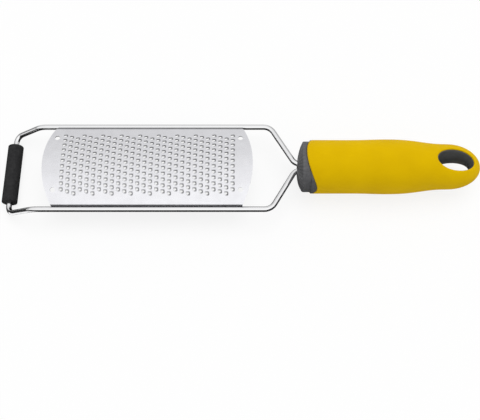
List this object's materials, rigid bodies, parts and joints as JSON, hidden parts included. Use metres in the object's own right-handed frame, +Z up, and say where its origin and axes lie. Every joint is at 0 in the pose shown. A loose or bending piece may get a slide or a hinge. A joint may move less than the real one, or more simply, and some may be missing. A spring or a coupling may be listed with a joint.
{
  "type": "rasp zester",
  "caption": "Hand zester with an arched toothed steel blade in a bent wire frame, a rubber foot and a soft-grip handle with a hang hole.",
  "frame": {"origin": "on the table, under the middle of the tool's length and width, with the tool resting on its foot and handle", "axes": "+X along the tool from the foot towards the handle's hang hole, +Y across it, +Z up, with the teeth facing up"},
  "size_m": [0.32, 0.064, 0.0346],
  "materials": {
    "wire": "bright polished stainless wire",
    "blade": "satin stainless sheet with etched teeth",
    "weld": "plain weld bead",
    "foot_rubber": "matt black rubber",
    "core_plastic": "fine-textured dark grey plastic",
    "grip_rubber": "yellow soft-touch elastomer"
  },
  "bodies": {
    "root": {"wire_frame": "wire", "blade": "blade", "rail_welds": "weld", "foot_sleeve": "foot_rubber", "handle_core": "core_plastic", "handle_grip": "grip_rubber"}
  },
  "joints": []
}
